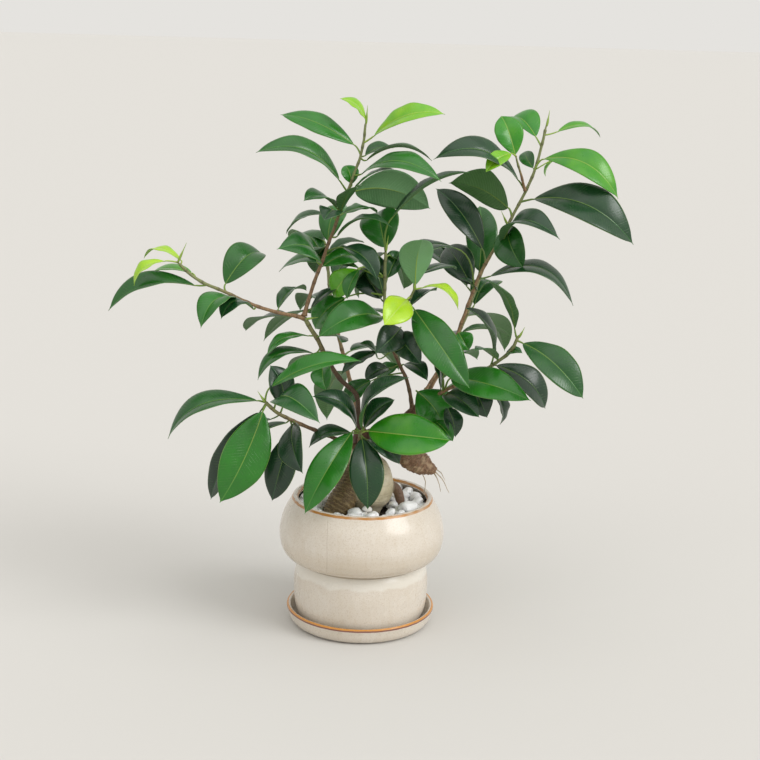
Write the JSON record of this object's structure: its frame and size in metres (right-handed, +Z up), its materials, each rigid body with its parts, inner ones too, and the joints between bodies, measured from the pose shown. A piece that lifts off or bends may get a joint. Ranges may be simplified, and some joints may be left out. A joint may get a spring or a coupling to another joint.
{
  "type": "ginseng ficus in a ceramic pot",
  "caption": "Potted ginseng ficus: swollen caudex with forking stems and arched glossy oval leaves, in a cream glazed waisted ceramic pot with white pebbles, on a matching saucer.",
  "frame": {"origin": "middle of the saucer's flat foot, on the surface that the plant stands on", "axes": "+Z up along the pot's axis; -Y is the plant's front; +X is to the right seen from the front"},
  "size_m": [0.457, 0.2579, 0.4746],
  "materials": {
    "cream_glaze": "glossy cream stoneware glaze with fine speckle and an amber break on the rims",
    "white_pebbles": "tumbled white marble, satin",
    "soil": "damp dark potting grit, matt",
    "drain_net": "black plastic mesh disc",
    "caudex_skin": "tan and olive-brown root skin with fine rings and lenticels",
    "stem_bark": "red-brown thin bark, green towards the tips",
    "leaf": "waxy dark green upper face with pale midrib, paler matt underside",
    "young_leaf": "soft lime green new leaf"
  },
  "bodies": {
    "root": {"saucer": "cream_glaze", "pot": "cream_glaze", "drain_net": "drain_net", "soil": "soil", "pebble_bed": "white_pebbles", "pebble_egg": "white_pebbles", "pebble_front": "white_pebbles", "pebble_left": "white_pebbles", "pebble_back": "white_pebbles", "caudex": "caudex_skin", "stem_left": "stem_bark", "branch_left": "stem_bark", "stem_top": "stem_bark", "stem_lower_left": "stem_bark", "stem_centre": "stem_bark", "twig_centre": "stem_bark", "stem_right": "stem_bark", "stem_lower_right": "stem_bark", "twig_front": "stem_bark", "stem_back_left": "stem_bark", "stem_back_right": "stem_bark", "leaf_left_tip": "leaf", "leaf_left_upright": "leaf", "leaf_left_hanging": "leaf", "leaf_left_inner": "leaf", "leaf_summit_right": "young_leaf", "leaf_summit_left": "leaf", "leaf_high_left": "leaf", "leaf_high_striped": "leaf", "leaf_high_under": "leaf", "leaf_upper_left": "leaf", "leaf_blue": "leaf", "leaf_heart": "leaf", "leaf_middle_high": "leaf", "leaf_middle_light": "leaf", "leaf_lime": "young_leaf", "leaf_pale": "young_leaf", "leaf_front_slate": "leaf", "leaf_right_slate": "leaf", "leaf_right_dark": "leaf", "leaf_right_long": "leaf", "leaf_right_top": "leaf", "leaf_right_bright": "leaf", "leaf_right_largest": "leaf", "leaf_right_low": "leaf", "leaf_right_wide": "leaf", "leaf_low_right_up": "leaf", "leaf_low_right_tip": "leaf", "leaf_low_right_light": "leaf", "leaf_front_bright": "leaf", "leaf_front_hanging": "leaf", "leaf_front_left": "leaf", "leaf_low_left_tip": "leaf", "leaf_low_left_big": "leaf", "leaf_low_left_glossy": "leaf", "leaf_low_left_dome": "leaf", "leaf_back_low": "leaf", "leaf_back_left": "leaf", "leaf_back_right": "leaf", "leaf_back_high": "leaf"}
  },
  "joints": []
}
